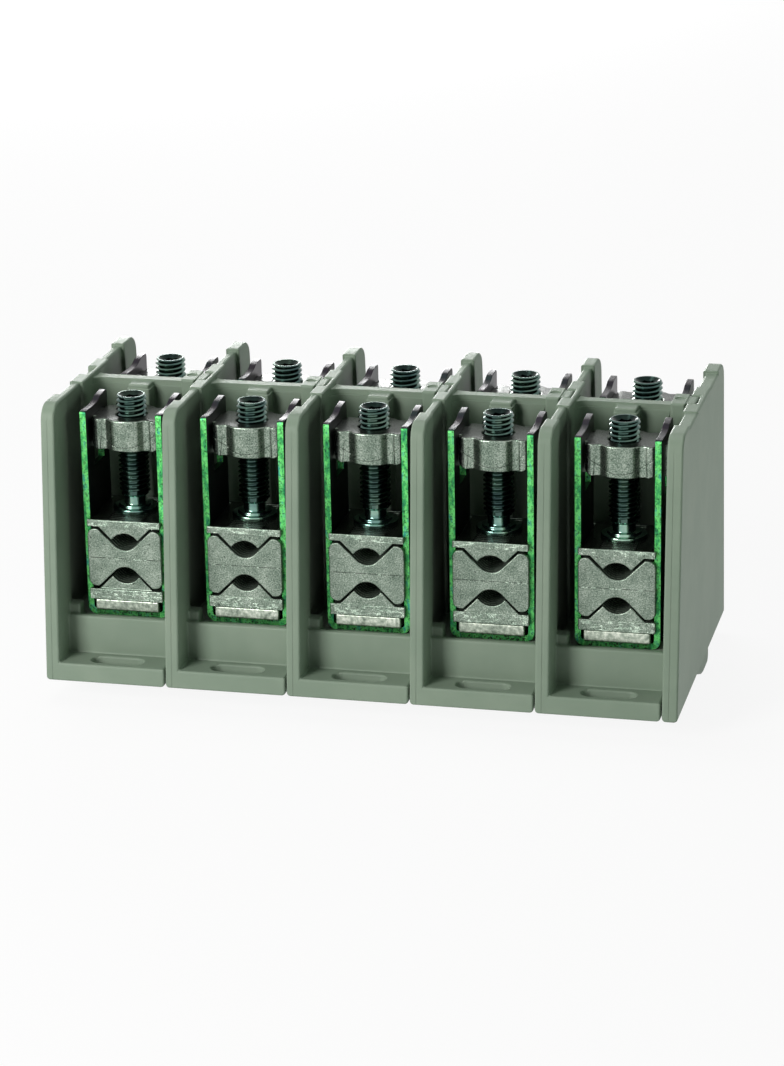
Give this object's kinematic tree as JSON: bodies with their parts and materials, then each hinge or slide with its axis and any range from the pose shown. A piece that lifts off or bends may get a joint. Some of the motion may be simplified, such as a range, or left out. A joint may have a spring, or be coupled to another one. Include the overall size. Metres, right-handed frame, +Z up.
{
  "type": "terminal strip",
  "caption": "Main-line terminal strip: moulded pole housings in a row, each with a busbar and a prism cage clamp at front and rear.",
  "frame": {"origin": "middle of the strip in X and Y, underside of the foot in Z", "axes": "+X along the row of poles, towards the end plate; +Y along the conductors, from the front clamps to the rear clamps; +Z up along the clamping screws"},
  "size_m": [0.164, 0.082, 0.0776],
  "materials": {
    "housing": "satin moulded grey-beige",
    "busbar": "tinned copper bar, satin",
    "bracket": "bent steel strip, iridescent green and violet chromate",
    "nickel": "nickel-plated, satin, speckled",
    "screw": "dark green-black zinc plate"
  },
  "bodies": {
    "strip": {"housing_1": "housing", "housing_2": "housing", "housing_3": "housing", "housing_4": "housing", "housing_5": "housing", "end_plate": "housing", "busbar_1": "busbar", "busbar_2": "busbar", "busbar_3": "busbar", "busbar_4": "busbar", "busbar_5": "busbar", "bracket_1": "bracket", "bracket_2": "bracket", "bracket_3": "bracket", "bracket_4": "bracket", "bracket_5": "bracket", "nut_1": "nickel", "nut_2": "nickel", "nut_3": "nickel", "nut_4": "nickel", "nut_5": "nickel", "v_plate_1": "nickel", "v_plate_2": "nickel", "v_plate_3": "nickel", "v_plate_4": "nickel", "v_plate_5": "nickel"},
    "prism_f1": {"prism_f1": "nickel"},
    "pressure_plate_f1": {"plate_f1": "nickel"},
    "screw_f1": {"screw_f1": "screw"},
    "prism_f2": {"prism_f2": "nickel"},
    "pressure_plate_f2": {"plate_f2": "nickel"},
    "screw_f2": {"screw_f2": "screw"},
    "prism_f3": {"prism_f3": "nickel"},
    "pressure_plate_f3": {"plate_f3": "nickel"},
    "screw_f3": {"screw_f3": "screw"},
    "prism_f4": {"prism_f4": "nickel"},
    "pressure_plate_f4": {"plate_f4": "nickel"},
    "screw_f4": {"screw_f4": "screw"},
    "prism_f5": {"prism_f5": "nickel"},
    "pressure_plate_f5": {"plate_f5": "nickel"},
    "screw_f5": {"screw_f5": "screw"},
    "prism_r1": {"prism_r1": "nickel"},
    "pressure_plate_r1": {"plate_r1": "nickel"},
    "screw_r1": {"screw_r1": "screw"},
    "prism_r2": {"prism_r2": "nickel"},
    "pressure_plate_r2": {"plate_r2": "nickel"},
    "screw_r2": {"screw_r2": "screw"},
    "prism_r3": {"prism_r3": "nickel"},
    "pressure_plate_r3": {"plate_r3": "nickel"},
    "screw_r3": {"screw_r3": "screw"},
    "prism_r4": {"prism_r4": "nickel"},
    "pressure_plate_r4": {"plate_r4": "nickel"},
    "screw_r4": {"screw_r4": "screw"},
    "prism_r5": {"prism_r5": "nickel"},
    "pressure_plate_r5": {"plate_r5": "nickel"},
    "screw_r5": {"screw_r5": "screw"}
  },
  "joints": [
    {"name": "plate_slide_f1", "type": "slide", "parent": "strip", "child": "pressure_plate_f1", "axis": [0, 0, 1], "range_m": [0, 0.013]},
    {"name": "screw_spin_f1", "type": "hinge", "parent": "pressure_plate_f1", "child": "screw_f1", "pos_m": [-0.0634, -0.0174, 0.0457], "axis": [0, 0, 1], "range_deg": [0, 3745]},
    {"name": "prism_slide_f1", "type": "slide", "parent": "strip", "child": "prism_f1", "axis": [0, 0, 1], "range_m": [0, 0.0065]},
    {"name": "plate_slide_f2", "type": "slide", "parent": "strip", "child": "pressure_plate_f2", "axis": [0, 0, 1], "range_m": [0, 0.013]},
    {"name": "screw_spin_f2", "type": "hinge", "parent": "pressure_plate_f2", "child": "screw_f2", "pos_m": [-0.0314, -0.0174, 0.0457], "axis": [0, 0, 1], "range_deg": [0, 3745]},
    {"name": "prism_slide_f2", "type": "slide", "parent": "strip", "child": "prism_f2", "axis": [0, 0, 1], "range_m": [0, 0.0065]},
    {"name": "plate_slide_f3", "type": "slide", "parent": "strip", "child": "pressure_plate_f3", "axis": [0, 0, 1], "range_m": [0, 0.013]},
    {"name": "screw_spin_f3", "type": "hinge", "parent": "pressure_plate_f3", "child": "screw_f3", "pos_m": [0.0006, -0.0174, 0.0457], "axis": [0, 0, 1], "range_deg": [0, 3745]},
    {"name": "prism_slide_f3", "type": "slide", "parent": "strip", "child": "prism_f3", "axis": [0, 0, 1], "range_m": [0, 0.0065]},
    {"name": "plate_slide_f4", "type": "slide", "parent": "strip", "child": "pressure_plate_f4", "axis": [0, 0, 1], "range_m": [0, 0.013]},
    {"name": "screw_spin_f4", "type": "hinge", "parent": "pressure_plate_f4", "child": "screw_f4", "pos_m": [0.0326, -0.0174, 0.0457], "axis": [0, 0, 1], "range_deg": [0, 3745]},
    {"name": "prism_slide_f4", "type": "slide", "parent": "strip", "child": "prism_f4", "axis": [0, 0, 1], "range_m": [0, 0.0065]},
    {"name": "plate_slide_f5", "type": "slide", "parent": "strip", "child": "pressure_plate_f5", "axis": [0, 0, 1], "range_m": [0, 0.013]},
    {"name": "screw_spin_f5", "type": "hinge", "parent": "pressure_plate_f5", "child": "screw_f5", "pos_m": [0.0646, -0.0174, 0.0457], "axis": [0, 0, 1], "range_deg": [0, 3745]},
    {"name": "prism_slide_f5", "type": "slide", "parent": "strip", "child": "prism_f5", "axis": [0, 0, 1], "range_m": [0, 0.0065]},
    {"name": "plate_slide_r1", "type": "slide", "parent": "strip", "child": "pressure_plate_r1", "axis": [0, 0, 1], "range_m": [0, 0.013]},
    {"name": "screw_spin_r1", "type": "hinge", "parent": "pressure_plate_r1", "child": "screw_r1", "pos_m": [-0.0634, 0.0174, 0.0457], "axis": [0, 0, 1], "range_deg": [0, 3745]},
    {"name": "prism_slide_r1", "type": "slide", "parent": "strip", "child": "prism_r1", "axis": [0, 0, 1], "range_m": [0, 0.0065]},
    {"name": "plate_slide_r2", "type": "slide", "parent": "strip", "child": "pressure_plate_r2", "axis": [0, 0, 1], "range_m": [0, 0.013]},
    {"name": "screw_spin_r2", "type": "hinge", "parent": "pressure_plate_r2", "child": "screw_r2", "pos_m": [-0.0314, 0.0174, 0.0457], "axis": [0, 0, 1], "range_deg": [0, 3745]},
    {"name": "prism_slide_r2", "type": "slide", "parent": "strip", "child": "prism_r2", "axis": [0, 0, 1], "range_m": [0, 0.0065]},
    {"name": "plate_slide_r3", "type": "slide", "parent": "strip", "child": "pressure_plate_r3", "axis": [0, 0, 1], "range_m": [0, 0.013]},
    {"name": "screw_spin_r3", "type": "hinge", "parent": "pressure_plate_r3", "child": "screw_r3", "pos_m": [0.0006, 0.0174, 0.0457], "axis": [0, 0, 1], "range_deg": [0, 3745]},
    {"name": "prism_slide_r3", "type": "slide", "parent": "strip", "child": "prism_r3", "axis": [0, 0, 1], "range_m": [0, 0.0065]},
    {"name": "plate_slide_r4", "type": "slide", "parent": "strip", "child": "pressure_plate_r4", "axis": [0, 0, 1], "range_m": [0, 0.013]},
    {"name": "screw_spin_r4", "type": "hinge", "parent": "pressure_plate_r4", "child": "screw_r4", "pos_m": [0.0326, 0.0174, 0.0457], "axis": [0, 0, 1], "range_deg": [0, 3745]},
    {"name": "prism_slide_r4", "type": "slide", "parent": "strip", "child": "prism_r4", "axis": [0, 0, 1], "range_m": [0, 0.0065]},
    {"name": "plate_slide_r5", "type": "slide", "parent": "strip", "child": "pressure_plate_r5", "axis": [0, 0, 1], "range_m": [0, 0.013]},
    {"name": "screw_spin_r5", "type": "hinge", "parent": "pressure_plate_r5", "child": "screw_r5", "pos_m": [0.0646, 0.0174, 0.0457], "axis": [0, 0, 1], "range_deg": [0, 3745]},
    {"name": "prism_slide_r5", "type": "slide", "parent": "strip", "child": "prism_r5", "axis": [0, 0, 1], "range_m": [0, 0.0065]}
  ],
  "couplings": [
    {"joint": "screw_spin_f1", "follows": "plate_slide_f1", "rad_per_m": 5026.5},
    {"joint": "prism_slide_f1", "follows": "plate_slide_f1", "ratio": 0.5},
    {"joint": "screw_spin_f2", "follows": "plate_slide_f2", "rad_per_m": 5026.5},
    {"joint": "prism_slide_f2", "follows": "plate_slide_f2", "ratio": 0.5},
    {"joint": "screw_spin_f3", "follows": "plate_slide_f3", "rad_per_m": 5026.5},
    {"joint": "prism_slide_f3", "follows": "plate_slide_f3", "ratio": 0.5},
    {"joint": "screw_spin_f4", "follows": "plate_slide_f4", "rad_per_m": 5026.5},
    {"joint": "prism_slide_f4", "follows": "plate_slide_f4", "ratio": 0.5},
    {"joint": "screw_spin_f5", "follows": "plate_slide_f5", "rad_per_m": 5026.5},
    {"joint": "prism_slide_f5", "follows": "plate_slide_f5", "ratio": 0.5},
    {"joint": "screw_spin_r1", "follows": "plate_slide_r1", "rad_per_m": 5026.5},
    {"joint": "prism_slide_r1", "follows": "plate_slide_r1", "ratio": 0.5},
    {"joint": "screw_spin_r2", "follows": "plate_slide_r2", "rad_per_m": 5026.5},
    {"joint": "prism_slide_r2", "follows": "plate_slide_r2", "ratio": 0.5},
    {"joint": "screw_spin_r3", "follows": "plate_slide_r3", "rad_per_m": 5026.5},
    {"joint": "prism_slide_r3", "follows": "plate_slide_r3", "ratio": 0.5},
    {"joint": "screw_spin_r4", "follows": "plate_slide_r4", "rad_per_m": 5026.5},
    {"joint": "prism_slide_r4", "follows": "plate_slide_r4", "ratio": 0.5},
    {"joint": "screw_spin_r5", "follows": "plate_slide_r5", "rad_per_m": 5026.5},
    {"joint": "prism_slide_r5", "follows": "plate_slide_r5", "ratio": 0.5}
  ]
}
